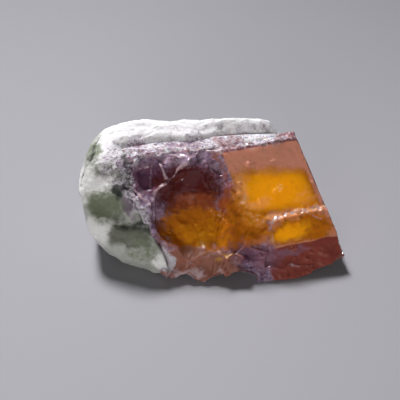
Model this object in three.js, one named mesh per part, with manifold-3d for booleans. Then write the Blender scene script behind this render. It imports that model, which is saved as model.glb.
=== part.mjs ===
// Scapolite crystal in its host rock, a hand specimen 50 mm long that lies on a flat surface.
//
// Two pieces grew against each other:
//   scapolite_crystal  a tetragonal prism, its axis along the specimen's length. The right half keeps its
//                      prism faces; the left half is broken down into shell-shaped (conchoidal) hollows.
//   host_rock          pale marble with green diopside, wrapped round the crystal's left end, back and top.
//
// Units are millimetres, +Z is up, +X runs along the length and -Y is the front.
import * as THREE from "three";
import { mergeVertices } from "three/addons/utils/BufferGeometryUtils.js";
import Module from "manifold-3d";

const wasm = await Module();
wasm.setup();

// ---- driving dimensions ----
const AXIS_YAW = THREE.MathUtils.degToRad(17); // the prism axis, turned from +X towards the back
const RIDGE_HEIGHT = 18.5; // the long top edge of the big front face
const RIDGE_SIDE = -2.8; // where that edge runs, across the axis
const FRONT_SLOPE = 42; // the big front face, degrees below level
const STEP_DOWN = 13.6; // ridge to the ledge that crosses the front face, measured down the face
const STEP_HEIGHT = 0.7; // how far the band below the ledge stands proud
const CONTACT_GAP = 0.3; // between crystal and rock
const BLANK = [90, 80, 80]; // the block that the prism is cut from
const SLAB = 200; // a cutting block, larger than the specimen
const HOLLOW_ROUNDNESS = 2.2; // half the height of a hollow's egg shape, in depths of the hollow
const HOLLOW_DETAIL = 9; // how finely a hollow's curved surface is divided
const ROCK_DETAIL = 15; // and the rock's
const SAME_POINT = 1e-4; // corners closer than this are one corner

// ---- helpers ----

const vec = (x, y, z) => new THREE.Vector3(x, y, z);

// A point or direction given along the prism axis, across it towards the front, and up.
function prism(along, across, up) {
  const cos = Math.cos(AXIS_YAW);
  const sin = Math.sin(AXIS_YAW);
  return vec(along * cos + across * sin, along * sin - across * cos, up);
}

// The outward normal of a face that runs along the prism axis and falls towards the front by an angle.
function slopeNormal(degrees) {
  const angle = THREE.MathUtils.degToRad(degrees);
  return prism(0, Math.sin(angle), Math.cos(angle));
}

// A point on the big front face, from its distance along the axis and down the face from the ridge.
function onFront(along, down) {
  const angle = THREE.MathUtils.degToRad(FRONT_SLOPE);
  return prism(along, RIDGE_SIDE + down * Math.cos(angle), RIDGE_HEIGHT - down * Math.sin(angle));
}

function solidOf(geometry) {
  const bare = geometry.clone();
  bare.deleteAttribute("normal");
  bare.deleteAttribute("uv");
  const merged = mergeVertices(bare, SAME_POINT);
  return new wasm.Manifold(
    new wasm.Mesh({
      numProp: 3,
      vertProperties: new Float32Array(merged.attributes.position.array),
      triVerts: new Uint32Array(merged.index.array),
    }),
  );
}

function geometryOf(solid) {
  const mesh = solid.getMesh();
  const corners = new Float32Array(mesh.numVert * 3);
  for (let i = 0; i < mesh.numVert; i++) {
    const from = i * mesh.numProp;
    corners.set(mesh.vertProperties.subarray(from, from + 3), i * 3);
  }
  const geometry = new THREE.BufferGeometry();
  geometry.setAttribute("position", new THREE.BufferAttribute(corners, 3));
  geometry.setIndex(new THREE.BufferAttribute(new Uint32Array(mesh.triVerts), 1));
  geometry.computeVertexNormals();
  return geometry;
}

// A block whose bottom lies on the plane through a point, on the plane's outer side.
function blockBeyond([normal, through], grow = 0) {
  const out = normal.clone().normalize();
  const block = new THREE.BoxGeometry(SLAB, SLAB, SLAB);
  block.applyQuaternion(new THREE.Quaternion().setFromUnitVectors(vec(0, 0, 1), out));
  const middle = through.clone().addScaledVector(out, SLAB / 2 + grow);
  block.translate(middle.x, middle.y, middle.z);
  return solidOf(block);
}

// Cuts a solid along one plane.
function cutAt(solid, face, grow = 0) {
  return solid.subtract(blockBeyond(face, grow));
}

// Cuts out the part that lies beyond every one of several planes.
function notch(solid, faces, grow = 0) {
  const [first, ...rest] = faces.map((face) => blockBeyond(face, grow));
  return solid.subtract(rest.reduce((sum, block) => sum.intersect(block), first));
}

// The face that holds the line between two points on the front face. Its wall turns right when one looks
// from the first to the second, and leans back by the given share of the front normal.
function wallThrough(from, to, lean) {
  const front = slopeNormal(FRONT_SLOPE);
  const side = to.clone().sub(from).cross(front).normalize();
  return [side.addScaledVector(front, lean).normalize(), from];
}

// Scoops a conchoidal hollow: middle of its mouth, half-widths across and down, depth, and way it faces.
function hollow(solid, middle, [halfAcross, halfDown, depth], facing) {
  const reach = depth * HOLLOW_ROUNDNESS;
  const mouth = Math.sqrt(1 - ((reach - depth) / reach) ** 2);
  const shape = new THREE.IcosahedronGeometry(1, HOLLOW_DETAIL);
  shape.scale(halfAcross / mouth, halfDown / mouth, reach);
  const out = facing.clone().normalize();
  const across = vec(1, 0, 0).addScaledVector(out, -out.x).normalize();
  const basis = new THREE.Matrix4().makeBasis(across, out.clone().cross(across), out);
  shape.applyMatrix4(basis);
  const centre = middle.clone().addScaledVector(out, reach - depth);
  shape.translate(centre.x, centre.y, centre.z);
  return solid.subtract(solidOf(shape));
}

// ---- scapolite_crystal ----

const RIDGE = onFront(0, 0);
const FRONT = [slopeNormal(FRONT_SLOPE), RIDGE];
const FLOOR = [vec(0, 0, -1), vec(0, 0, 0)];

// The broken surface of the left half and the face under it: [outward normal, a point on the face].
const BROKEN = [vec(0.02, -0.715, 0.7), vec(0, -9.5, 4.8)];
const BROKEN_SKIRT = [vec(-0.143, -0.875, 0.462), vec(0.5, -11.9, 0)];
// The left end, where the crystal meets the rock: two faces that look towards the crystal.
const CONTACT = [
  [vec(1, 0.1, 0), vec(-14.3, 0, 14)],
  [vec(0.8, 0.597, 0.064), vec(-7.6, -8.9, 5.4)],
];

// The scarp between the whole and the broken half: along the axis, and down the front face.
const SCARP = [onFront(5, -1), onFront(5.4, 7.5), onFront(11, 14.4)];
const SCARP_LEANS = [0.5, 0.3]; // how far its upper and lower walls lean back

const PRISM_FACES = [
  [slopeNormal(FRONT_SLOPE), RIDGE.clone().addScaledVector(slopeNormal(FRONT_SLOPE), STEP_HEIGHT)],
  [slopeNormal(-3), prism(0, -3.4, RIDGE_HEIGHT)], // narrow strip behind the ridge
  [vec(-0.06, 0.74, 0.67), vec(17.9, 10, RIDGE_HEIGHT)], // behind it, under the rock
  [slopeNormal(-93), prism(0, -9, 12)], // back
  [slopeNormal(-138), prism(0, -8.5, 3)],
  [prism(0.8, -0.6, 0.1), prism(19, -8, 10)], // chip off the back of the right end
  [vec(0.127, -0.803, 0.581), vec(13.4, -7.9, 5)], // steep band under the front face
  [vec(0.924, 0.236, 0.302), onFront(19.56, 0)], // right end
  [vec(0.26, 0, -1), vec(18, -10.8, 0)], // underside, rising towards the right end
  [vec(-0.22, -0.1, -1), vec(0, -11.9, 0)], // and towards the left end
  ...CONTACT.map(([normal, through]) => [normal.clone().negate(), through]),
  FLOOR,
];

// The prism with its broken left half, before any hollow is scooped out. It can be made larger all round, which
// gives the space that the rock has to leave free.
function envelope(grow = 0) {
  let body = solidOf(new THREE.BoxGeometry(...BLANK));
  for (const face of PRISM_FACES) body = cutAt(body, face, grow);
  const ledge = [slopeNormal(8), onFront(0, STEP_DOWN)];
  body = notch(body, [FRONT, ledge], grow);
  SCARP_LEANS.forEach((lean, i) => {
    body = notch(body, [BROKEN, wallThrough(SCARP[i], SCARP[i + 1], lean)], grow);
  });
  return body;
}

// Two hollows overlap to give the main one, and the arch leaves the crystal standing on two feet.
function crystal() {
  let body = envelope();
  body = notch(body, [BROKEN_SKIRT, [vec(-0.95, -0.3, 0), vec(8, -10.5, 3)]]);
  body = hollow(body, vec(-2.6, -4.5, 10), [6.3, 8, 4], vec(0.12, -0.72, 0.68)); // main hollow
  body = hollow(body, vec(2, -4.1, 10.5), [3.9, 7.6, 3], vec(-0.1, -0.72, 0.68)); // its right-hand part
  body = hollow(body, vec(-10.4, 0, 15.4), [3.6, 3.6, 1.7], vec(0, -0.7, 0.7)); // small one beside it
  body = hollow(body, vec(5.8, -12, 0), [4.6, 6, 2], vec(0, 0, -1)); // arch between the feet
  return body;
}

// ---- host_rock ----

// A rounded lump: faces at stated distances from a middle point, blended so that their edges are soft.
// Each face is [x, y and z of its outward direction, distance].
const ROCK_MIDDLE = vec(-6, 3, 10);
const ROCK_SHARPNESS = 16; // higher gives crisper edges between the faces
const ROCK_FACES = [
  [-1, 0, 0, 17.3],
  [-0.94, 0.21, 0.27, 17.2],
  [-0.71, 0.44, 0.56, 18.5],
  [-0.34, 0.58, 0.74, 15.9],
  [0, 0.62, 0.79, 13.9],
  [0.5, 0.53, 0.68, 21.2],
  [-0.94, -0.21, -0.27, 16.6],
  [-0.71, -0.44, -0.56, 17.5],
  [-0.34, -0.58, -0.74, 17.4],
  [0, -0.62, -0.79, 17.2],
  [-0.3, -0.93, -0.1, 14.8],
  [-0.45, -0.2, -0.87, 14.8],
  [-0.24, -0.79, 0.56, 8.6],
  [-0.3, -0.2, 0.93, 11],
  [0, 0, 1, 10.9],
  [0, 1, 0, 11.2],
  [0, 0.8, -0.6, 12],
  [-0.6, 0.5, -0.6, 14.5],
  [0.8, 0.6, 0, 21],
  [1, 0, 0, 22],
  [0.6, 0, -0.8, 16],
  [0, 0, -1, 10.6],
];

// Right of the contact the rock lies only behind these two faces, so the crystal's front is open.
const OPEN_SIDE = [
  [slopeNormal(60), prism(0, -4, RIDGE_HEIGHT)],
  [vec(0, -0.87, 0.5), vec(0, 4.2, RIDGE_HEIGHT)],
];

// Low swells over the lump, as a share of its radius.
function swell(way) {
  return (
    0.014 * Math.sin(7 * way.x + 5 * way.z + 0.8) * Math.sin(6 * way.y - 4 * way.z) +
    0.01 * Math.sin(13 * way.x - 9 * way.y + 2) * Math.sin(11 * way.z + 6 * way.y)
  );
}

function rock() {
  const lump = new THREE.IcosahedronGeometry(1, ROCK_DETAIL);
  const place = lump.attributes.position;
  const way = vec(0, 0, 0);
  const faces = ROCK_FACES.map(([x, y, z, distance]) => [vec(x, y, z).normalize(), distance]);
  for (let i = 0; i < place.count; i++) {
    way.fromBufferAttribute(place, i).normalize();
    let sum = 0;
    for (const [normal, distance] of faces) sum += Math.max(0, normal.dot(way) / distance) ** ROCK_SHARPNESS;
    const radius = sum ** (-1 / ROCK_SHARPNESS) * (1 + swell(way));
    place.setXYZ(i, ...way.multiplyScalar(radius).add(ROCK_MIDDLE));
  }
  let body = cutAt(solidOf(lump), FLOOR);
  for (const face of OPEN_SIDE) body = notch(body, [face, ...CONTACT], -CONTACT_GAP);
  body = hollow(body, vec(-16.8, -3.9, 11.2), [4.6, 2.8, 1.3], vec(-0.3, -0.8, 0.35)); // dark one on the left
  return body.subtract(envelope(CONTACT_GAP));
}

// ---- assembly ----

const pieces = [
  ["scapolite_crystal", crystal(), { color: 0xa0603c, roughness: 0.25, metalness: 0 }],
  ["host_rock", rock(), { color: 0xd4d8cc, roughness: 0.75, metalness: 0 }],
];

const bounds = new THREE.Box3();
for (const [, solid] of pieces) bounds.union(new THREE.Box3().setFromArray(solid.getMesh().vertProperties));

const specimen = new THREE.Group();
for (const [name, solid, finish] of pieces) {
  const geometry = geometryOf(solid);
  geometry.translate(-(bounds.min.x + bounds.max.x) / 2, -(bounds.min.y + bounds.max.y) / 2, 0);
  const mesh = new THREE.Mesh(geometry, new THREE.MeshStandardMaterial(finish));
  mesh.name = name;
  specimen.add(mesh);
}

export default specimen;
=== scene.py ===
# %% [markdown]
# # A scapolite crystal in its marble
# The specimen is two minerals grown against each other: a glassy crystal, purple with honey-coloured
# windows, and the pale marble that it grew in. The CAD model gives their size and outline. This lesson
# turns those plain solids into a broken crystal and a sugary rock: first the shapes, then what the two
# are made of, then the light. Everything is in metres in Blender, but a specimen this small is easier to
# think about in millimetres, so the shapes are worked out in millimetres and scaled once, when they are
# written to the mesh.

# %% Load the CAD frame
from math import cos, pi, radians, sin

import bmesh
import bpy
import numpy as np
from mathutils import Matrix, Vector, noise
from mathutils.bvhtree import BVHTree
from mathutils.kdtree import KDTree


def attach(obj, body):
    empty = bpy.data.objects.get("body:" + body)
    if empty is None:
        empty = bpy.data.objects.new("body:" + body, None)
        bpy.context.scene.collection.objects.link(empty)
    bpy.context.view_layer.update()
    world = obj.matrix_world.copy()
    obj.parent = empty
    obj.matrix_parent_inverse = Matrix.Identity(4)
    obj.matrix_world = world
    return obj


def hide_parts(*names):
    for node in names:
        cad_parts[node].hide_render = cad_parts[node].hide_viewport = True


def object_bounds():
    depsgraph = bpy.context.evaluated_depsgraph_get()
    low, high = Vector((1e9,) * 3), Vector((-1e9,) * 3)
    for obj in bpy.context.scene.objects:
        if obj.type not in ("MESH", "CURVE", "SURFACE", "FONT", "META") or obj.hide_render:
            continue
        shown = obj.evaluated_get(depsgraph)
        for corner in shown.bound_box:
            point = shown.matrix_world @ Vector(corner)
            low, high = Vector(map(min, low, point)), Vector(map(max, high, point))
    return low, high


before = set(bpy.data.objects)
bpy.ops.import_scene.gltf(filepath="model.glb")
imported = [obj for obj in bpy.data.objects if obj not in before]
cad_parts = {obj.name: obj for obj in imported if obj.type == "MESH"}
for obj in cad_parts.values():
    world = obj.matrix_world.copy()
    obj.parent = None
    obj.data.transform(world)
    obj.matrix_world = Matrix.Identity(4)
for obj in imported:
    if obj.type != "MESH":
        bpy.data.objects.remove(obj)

MM = 0.001
cad_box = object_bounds()
BOX_LOW, BOX_HIGH = [np.array(corner) / MM for corner in cad_box]
print("CAD box, mm:", BOX_LOW.round(1), BOX_HIGH.round(1))

# %% [markdown]
# ## Where things are on the crystal
# A prism is easiest to describe along its own axis. The crystal's axis is turned 17 degrees from the
# length of the specimen, and its big front face slopes 42 degrees down towards the front. Three numbers
# then place anything on it: how far along the axis, how far down the front face from its top edge, and
# how far out of the face. The rock and the broken half have no such face, so places there are given
# level: along the length, the depth and the height of the specimen.

# %% The front face's own directions
AXIS_YAW = radians(17)
FRONT_SLOPE = radians(42)
RIDGE = np.array([-3.0, 1.48, 18.5])  # on the top edge of the front face
ALONG = np.array([cos(AXIS_YAW), sin(AXIS_YAW), 0])
LEVEL_OUT = np.array([sin(AXIS_YAW), -cos(AXIS_YAW), 0])
DOWN = LEVEL_OUT * cos(FRONT_SLOPE) - np.array([0, 0, sin(FRONT_SLOPE)])
OUT = LEVEL_OUT * sin(FRONT_SLOPE) + np.array([0, 0, cos(FRONT_SLOPE)])
FRONT_AXES = np.stack([ALONG, DOWN, OUT])
LEVEL_AXES = np.eye(3)


def on_front(along, down, out=0.0):
    return RIDGE + ALONG * along + DOWN * down + OUT * out


def on_face(points):
    """How far along, down and out each point is."""
    return ((points - RIDGE) @ FRONT_AXES.T).T


print("front face looks along", OUT.round(2))

# %% [markdown]
# ## Tools for natural surfaces
# Nothing on a stone is even, so nearly everything below is bent or shifted by soft noise. Blender's noise
# is used from Python here and not in a modifier, because the same value then moves the surface and
# colours it. `smooth` is a soft step between two values, `swell` is the soft noise, and `wander` is that
# noise in three directions, to bend an outline with.

# %% Soft steps and soft noise
def smooth(value, low, high):
    t = np.clip((value - low) / (high - low), 0, 1)
    return t * t * (3 - 2 * t)


def swell(points, size, seed, octaves=2):
    """Soft noise whose swells are about size mm across."""
    shift = Vector((seed * 7.3, seed * 3.1, seed * 5.7))
    return np.array([noise.fractal(Vector(p) / size + shift, 1.0, 2.0, octaves) for p in points])


def wander(points, size, seed):
    """A soft push in a direction that changes from place to place."""
    return np.stack([swell(points, size, seed + axis) for axis in range(3)], axis=1)


test_row = np.outer(np.linspace(0, 12, 200), [1, 0, 0])
test_swell = swell(test_row, 2.5, 1)
print("soft noise on a 12 mm row runs from", test_swell.min().round(2), "to", test_swell.max().round(2))

# %% [markdown]
# Brittle stone breaks into shallow bowls that meet in sharp ridges, each bowl tilted its own way. The
# cells of a Voronoi texture are all level cones, so the bowls are made here: each has a middle, a lean
# and a height, and at every point the lowest one wins. Turned upside down, the same bowls are rounded
# grains packed together, and that is what marble is made of.

# %% Bowls
NEIGHBOURS = 4  # how many of the nearest bowls are compared at a point
BOWL_TILT = 0.5
BOWL_HEIGHTS = 0.3  # how much higher one bowl may stand than another
MIDDLE_HEIGHT = 0.35  # taken off, so that some of the surface is pushed in and some out


def tree_of(points):
    """A search tree, which finds the nearest of many points quickly."""
    tree = KDTree(len(points))
    for i, point in enumerate(points):
        tree.insert(point, i)
    tree.balance()
    return tree


def scoops(points, size, seed):
    """Bowls about size mm across that meet in ridges."""
    picker = np.random.default_rng(seed)
    low, high = points.min(0) - size, points.max(0) + size
    middles = picker.uniform(low, high, (int(np.prod((high - low) / size)), 3))
    leans = picker.normal(size=middles.shape) * BOWL_TILT
    heights = picker.uniform(0, BOWL_HEIGHTS, len(middles))
    tree = tree_of(middles)
    nearest = np.array([[found[1] for found in tree.find_n(p, NEIGHBOURS)] for p in points])
    offset = (points[:, None] - middles[nearest]) / size
    bowls = (offset ** 2).sum(2) + (offset * leans[nearest]).sum(2) + heights[nearest]
    return bowls.min(1) - MIDDLE_HEIGHT


test_bowls = scoops(test_row, 1.4, 7)
print("bowls on a 12 mm row run from", test_bowls.min().round(2), "to", test_bowls.max().round(2))

# %% [markdown]
# Regions and lines say where something happens. A selection of faces would do it too, but its edge would
# be hard and would follow the mesh. `blob` is 1 inside an egg-shaped region and 0 outside, with an edge
# as soft as is asked. `line` is 1 on a bent line and 0 away from it: a sharp one falls off straight, like
# a ridge, and any other is rounded, like a groove.

# %% Regions and lines
def blob(points, middle, radii, edge=0.3, axes=FRONT_AXES):
    """An egg-shaped region, with its radii along, down and out of the front face."""
    local = (points - np.array(middle)) @ axes.T / np.array(radii)
    return 1 - smooth(np.linalg.norm(local, axis=1), 1 - edge, 1 + edge)


def level_blob(points, middle, radii, edge=0.6):
    """The same, with its radii along the specimen's length, depth and height."""
    return blob(points, middle, radii, edge, LEVEL_AXES)


def line(points, corners, width, sharp=False):
    nearest = np.full(len(points), np.inf)
    for start, end in zip(corners, corners[1:]):
        a, b = np.array(start, float), np.array(end, float)
        t = np.clip((points - a) @ (b - a) / ((b - a) @ (b - a)), 0, 1)
        nearest = np.minimum(nearest, np.linalg.norm(points - a - t[:, None] * (b - a), axis=1))
    return np.clip(1 - nearest / width, 0, 1) if sharp else np.exp(-((nearest / width) ** 2))


def strongest(*shares):
    """Where several regions overlap, the strongest counts."""
    return np.max(shares, axis=0)


def lines(points, ways, width, sharp=False):
    return strongest(*[line(points, way, width, sharp) for way in ways])


def cover(share):
    return f"{(share > 0.5).mean():.0%}"


print("a blob of radius 3 mm covers", cover(level_blob(test_row, (6, 0, 0), (3, 3, 3))), "of a 12 mm row")

# %% [markdown]
# ## From a plain solid to clay
# The CAD meshes have few, long triangles, so there is nothing on them to push in or out. Subdividing them
# would only give more long triangles. A Remesh modifier in voxel mode turns each solid into an even skin
# of small squares, about 0.2 mm, fine enough to hold a small chip. A Smooth modifier then wears the
# edges: hardly at all on the crystal, and a good deal on the softer rock.

# %% Between meshes and arrays
def read(mesh, what="co"):
    flat = np.empty(len(mesh.vertices) * 3)
    mesh.vertices.foreach_get(what, flat)
    return flat.reshape(-1, 3)


def write(piece, points):
    inside_box = np.clip(points, BOX_LOW, BOX_HIGH)
    piece.data.vertices.foreach_set("co", (inside_box * MM).ravel())
    piece.data.update()


def store(piece, name, values):
    layer = piece.data.attributes.new(name, "FLOAT", "POINT")
    layer.data.foreach_set("value", np.clip(values, 0, 1).astype(np.float32))


for node in ("scapolite_crystal", "host_rock"):
    print(node, "has", len(read(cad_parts[node].data)), "points in CAD")

# %% Even skins
def even_skin(node, name, voxel, rubs):
    """A fine skin over a CAD solid, with its points before and after the edges are worn."""
    plain = bpy.data.objects.new(name + "_plain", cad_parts[node].data.copy())
    bpy.context.collection.objects.link(plain)
    remesh = plain.modifiers.new("even", "REMESH")
    remesh.mode = "VOXEL"
    remesh.voxel_size = voxel * MM
    remesh.use_smooth_shade = True
    rub = plain.modifiers.new("worn edges", "SMOOTH")
    skins = []
    for rub.iterations in (0, rubs):
        graph = bpy.context.evaluated_depsgraph_get()
        skins.append(bpy.data.meshes.new_from_object(plain.evaluated_get(graph)))
    bpy.data.objects.remove(plain)
    unworn, worn = skins
    worn.name = name
    worn.materials.clear()
    piece = bpy.data.objects.new(name, worn)
    bpy.context.collection.objects.link(piece)
    print(name, "has", len(worn.polygons), "faces")
    return piece, read(unworn) / MM, read(worn) / MM


crystal, _, crystal_points = even_skin("scapolite_crystal", "crystal_skin", voxel=0.205, rubs=1)
rock, rock_unworn, rock_points = even_skin("host_rock", "rock_skin", voxel=0.22, rubs=30)

# %% [markdown]
# ## Where the two minerals meet
# The rock will be drawn up to the crystal, as it grew, so that no gap shows. For that, each point needs
# the distance and the direction to the other piece. It also needs to know if it is on the outside: the
# lip that closes the seam is made only there. Along the upper part of the seam the rock's edge is left
# unworn, because the crystal sheltered it, so those points go back to where they were before the rubbing.

# %% From each piece to the other
def way_to(points, piece, other_points):
    """The shortest way from each point to the other piece, as a distance and a direction."""
    tree = BVHTree.FromPolygons(other_points, [face.vertices for face in piece.data.polygons])
    ways = np.array([tree.find_nearest(Vector(p))[0] for p in points]) - points
    distance = np.linalg.norm(ways, axis=1)
    return distance, ways / distance[:, None]


rock_to_crystal, _ = way_to(rock_unworn, crystal, crystal_points)
at_seam = (smooth(rock_to_crystal, 3.2, 1.2) * smooth(rock_unworn[:, 2], 8, 11))[:, None]
rock_points += at_seam * (rock_unworn - rock_points)
write(rock, rock_points)
crystal_normals, rock_normals = read(crystal.data, "normal"), read(rock.data, "normal")
crystal_to_rock, towards_rock = way_to(crystal_points, rock, rock_points)
rock_to_crystal, towards_crystal = way_to(rock_points, crystal, crystal_points)
print("the two are never nearer than", round(float(crystal_to_rock.min()), 2), "mm")

# %% Which points are on the outside
FACES_THE_OTHER = 0.4  # a point whose normal leans this far towards the other piece is between the two


def looks_out(points, normals, towards):
    """1 on the outside of the specimen and on its seams, 0 deep between the two pieces."""
    tree = tree_of(points[(normals * towards).sum(1) < FACES_THE_OTHER])
    depth = np.array([tree.find(point)[2] for point in points])
    return smooth(depth, 1.2, 0.4)


crystal_outside = looks_out(crystal_points, crystal_normals, towards_rock)
rock_outside = looks_out(rock_points, rock_normals, towards_crystal)
print("on the outside:", cover(crystal_outside), "of the crystal,", cover(rock_outside), "of the rock")

# %% [markdown]
# ## The crystal's surface
# The right half is a prism: smooth faces with faint steps along the axis. The left half broke like glass,
# into shell-shaped hollows with sharp ribs between them, and the foot of the front crumbled into small
# flats. All this could be sculpted by hand. It is worked out in code because each kind of surface can
# then be told where it ends and how deep it goes. The first step is to say which surface is of which
# kind.

# %% Crystal: grown faces and broken faces
body, facing = crystal_points, crystal_normals
bend = wander(body, 2.5, 1)
sway = wander(body, 5.0, 51)
along, down, out = on_face(body)
# The scarp is the step from the broken half up to the prism. It runs to the right on its way down.
scarp = np.interp(down, [0, 4, 7.7, 11.4, 14.7], [4.6, 5.1, 5.9, 7.5, 10.6])
past_scarp = along + 0.3 * bend[:, 0] - scarp
whole = smooth(past_scarp, -0.3, 0.5) * smooth(down, 21.4, 20.2)
# The end face on the right counts as whole too.
whole = np.maximum(whole, smooth(facing[:, 0], 0.5, 0.8) * smooth(along, 14, 17))
broken = 1 - whole
print("grown faces cover", cover(whole))

# %% Crystal: hollows, crumbled foot and top edge
main_bowl = blob(body, (-3.0, -3.2, 9.0), (8.2, 9.2, 6), 0.15)
left_bowl = blob(body, (-12.6, 0.4, 14.8), (3.4, 3.0, 3), 0.2)
bowl = np.maximum(main_bowl, left_bowl)
foot = smooth(down, 17.5, 19.5) * smooth(along, 13, 9) + smooth(body[:, 2], 3.0, 1.0)
foot = np.clip(foot, 0, 1) * smooth(facing[:, 2], -0.75, -0.4)
crest = smooth(down, 0.7, 0.1) * smooth(facing[:, 2], 0.1, 0.4)
print("hollows cover", cover(bowl), "and the foot", cover(foot))

# %% [markdown]
# A few lines carry the character of the break, so they are placed one by one. Ribs are the sharp ridges
# between hollows. The crack runs down the deep hollow. Rims are edges where one break cuts another, and
# hairlines are healed cracks that show as pale threads. All of them are bent by the noise, because no
# crack in a stone is straight.

# %% Crystal: ribs, crack and rims
RIBS = [
    [(-4.4, 1.6, 17.2), (-6.7, -0.2, 15.7), (-8.4, -1.0, 14.8), (-9.9, -2.4, 13.5), (-11.0, -4.1, 11.8)],
    [(-9.9, 0.8, 16.8), (-8.7, -0.7, 15.2)],
    [(-14.8, 0.3, 15.4), (-14.2, -1.9, 13.6), (-12.8, -3.7, 12.3), (-11.8, -4.4, 11.5)],
]
CRACKS = [
    [(-3.0, -0.3, 15.4), (-1.7, -0.9, 12.2), (0.4, -2.7, 9.1), (1.3, -4.3, 8.0), (0.6, -6.1, 6.3)],
]
RIMS = [
    [(-8.7, -9.3, 5.2), (-6.5, -9.0, 4.8), (-4.0, -9.4, 4.5), (-1.6, -10.6, 4.7), (2.9, -10.8, 4.4)],
    [(13.3, -10.9, 2.2), (14.6, -10.6, 2.1), (15.8, -10.8, 1.7), (18.4, -10.3, 1.8)],
    [(10.5, -6.9, 8.3), (10.7, -8.2, 6.4), (11.6, -9.0, 5.0), (14.9, -8.6, 4.9), (17.2, -7.7, 5.7)],
    [(18.4, -4.4, 8.7), (19.5, -4.6, 8.2), (21.7, -3.9, 8.3)],
    [(1.3, 2.8, 18.5), (2.4, 0.9, 16.5), (3.4, -0.9, 14.7), (4.5, -2.4, 13.2), (5.7, -3.1, 12.3),
     (6.8, -4.7, 10.6)],
]
rib = lines(body + 0.45 * bend, RIBS, 0.6, sharp=True)
crack = lines(body + 0.45 * bend, CRACKS, 0.26)
rim = lines(body + 0.6 * bend, RIMS, 0.6, sharp=True)
print(len(RIBS), "ribs,", len(CRACKS), "crack and", len(RIMS), "rims")

# %% Crystal: hairlines
HAIRLINES = [
    [(-11.8, 1.0, 15.9), (-11.1, -0.5, 14.1), (-11.0, -1.6, 13.2)],
    [(-15.5, -0.2, 15.4), (-12.6, -0.4, 14.4), (-10.9, -0.6, 14.2)],
    [(-9.9, -3.4, 11.6), (-5.0, -2.2, 11.4), (-1.0, -2.0, 11.2)],
    [(-5.8, -0.3, 13.6), (-5.4, -2.0, 10.6), (-5.8, -3.4, 8.6)],
    [(-9.6, -3.8, 10.8), (-7.2, -3.6, 9.8), (-6.6, -3.0, 10.4)],
    [(-8.2, -1.8, 13.0), (-7.6, -2.6, 11.4), (-7.8, -3.6, 9.6)],
    [(3.4, 3.0, 18.1), (8.0, 4.5, 18.2), (11.3, 5.8, 18.4)],
]
hairline = lines(body + 0.6 * bend, HAIRLINES, 0.25)
print(len(HAIRLINES), "hairlines")

# %% [markdown]
# Now the push itself. Three sizes of bowl are laid over each other, as large breaks carry smaller ones,
# and each kind of surface takes its own depth of each size. `lift` adds it all up along the normals, in
# mm.

# %% Crystal: bowls of three sizes
big_scoops = scoops(body + 0.5 * bend, 3.6, 6)
small_scoops = scoops(body, 1.4, 7)
tiny_scoops = scoops(body, 0.6, 8)


def relief(big, small, tiny):
    """The three sizes together, each as deep as is asked, in mm."""
    return big * big_scoops + small * small_scoops + tiny * tiny_scoops


crumbly = smooth(along, 12, 9)
lift = 0.05 * swell(body, 5, 4)
lift += broken * (1 - 0.85 * bowl) * relief(0.42, 0.16, 0.05)
lift += bowl * relief(0.12, 0.08, 0.03)
print("broken faces are lifted by up to", lift.max().round(2), "mm")

# %% Crystal: the scarp, the ledge and the marks
LEDGE_WIDTH = 0.7
ledge_line = np.interp(along, [9.9, 11.8, 13.6, 15.2, 17.9, 22], [15.3, 14.6, 14.1, 13.7, 14.0, 14.0])
from_ledge = (down - ledge_line + 0.5 * bend[:, 1]) / LEDGE_WIDTH
ledge = np.exp(-(from_ledge ** 2)) * smooth(along, 9.5, 10.5) * whole
ledge *= smooth(out, -2.4, -1.2)
across_scarp = np.stack([past_scarp / 0.7, down / 6, 0 * down], axis=1)
streaks = swell(across_scarp, 1.0, 19) * smooth(past_scarp, -5.5, -3.5)
streaks *= smooth(past_scarp, 0.3, -0.2)
streaks *= 1 - foot
lift += 0.1 * streaks
lift += foot * (0.5 * big_scoops + crumbly * relief(0, 0.25, 0.1))
lift += crest * relief(0, 0.25, 0.15)
# Growth leaves steps that run along the axis, so the noise is stretched that way and rounded to quarters.
growth_lines = np.stack([down + 0.3 * bend[:, 1], 0.04 * along, 0 * down], axis=1)
steps = np.round(swell(growth_lines, 1.6, 9) * 4) / 4
lift += 0.035 * steps * whole
lift += ledge * relief(0, 0.2, 0.35)
lift += 0.35 * rib + 0.12 * rim - 0.08 * crack - 0.05 * hairline
print("the ledge covers", cover(ledge))

# %% [markdown]
# What is in contact is left alone: the underside has to stay level where the specimen rests, and a
# surface that lies against the rock has nothing to show. Beside the scarp the broken half is sunk a
# little, so that the prism stands above it as a shelf.

# %% Crystal: where the surface is held still
air = smooth(crystal_to_rock, 0.35, 1.0)
resting = smooth(body[:, 2], 0.05, 0.35)
SHELF_DEPTH = 0.9
shelf = smooth(past_scarp, -0.4, -3.0) * smooth(past_scarp, -8.0, -4.0)
shelf *= smooth(down, 1, 4)
shelf *= smooth(down, 19, 15)
lift = np.clip(lift, -0.7, 0.6) - SHELF_DEPTH * shelf * (1 - main_bowl)
lift *= resting * (0.1 + 0.9 * air)
print("the crystal is moved by", lift.min().round(2), "to", lift.max().round(2), "mm")

# %% [markdown]
# The deep hollow is not one clean shell. A crack runs down its middle, and to the right of the crack the
# stone stands higher. So the hollow of the CAD solid is filled a little on the left, and for the most
# part on the right. The fill is measured down from the plane that the hollow was broken out of.

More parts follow.
